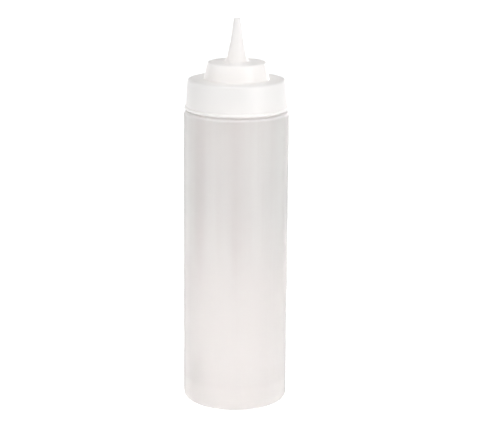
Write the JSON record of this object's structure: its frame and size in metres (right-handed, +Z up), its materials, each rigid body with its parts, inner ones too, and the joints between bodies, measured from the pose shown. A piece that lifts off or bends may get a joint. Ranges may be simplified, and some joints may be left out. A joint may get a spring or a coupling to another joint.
{
  "type": "condiment squeeze bottle",
  "caption": "Tall round squeeze bottle for sauces, translucent, with a wide screw neck, a soft seal ring and a white stepped screw cap that ends in a cone spout.",
  "frame": {"origin": "middle of the standing ring, on the surface that the bottle stands on", "axes": "+Z up along the bottle's and the cap's common axis, towards the spout's tip; +X and +Y across, and the thread fades out towards its lip end at 270 degrees from +X"},
  "size_m": [0.07, 0.07, 0.2608],
  "materials": {
    "bottle_polyethylene": "translucent natural low-density polyethylene, blow-moulded, satin",
    "cap_polyethylene": "opaque white polyethylene, injection-moulded, satin",
    "ring_silicone": "translucent white silicone rubber, die-cut, matt"
  },
  "bodies": {
    "bottle": {"bottle": "bottle_polyethylene"},
    "seal": {"seal_ring": "ring_silicone"},
    "cap": {"screw_cap": "cap_polyethylene"}
  },
  "joints": [
    {"name": "cap_rise", "type": "slide", "parent": "bottle", "child": "seal", "axis": [0, 0, 1], "range_m": [0, 0.01903]},
    {"name": "cap_turn", "type": "hinge", "parent": "seal", "child": "cap", "pos_m": [0, 0, 0.2005], "axis": [0, 0, 1], "range_deg": [0, 1620]}
  ],
  "couplings": [
    {"joint": "cap_turn", "follows": "cap_rise", "rad_per_m": 1485.4}
  ]
}
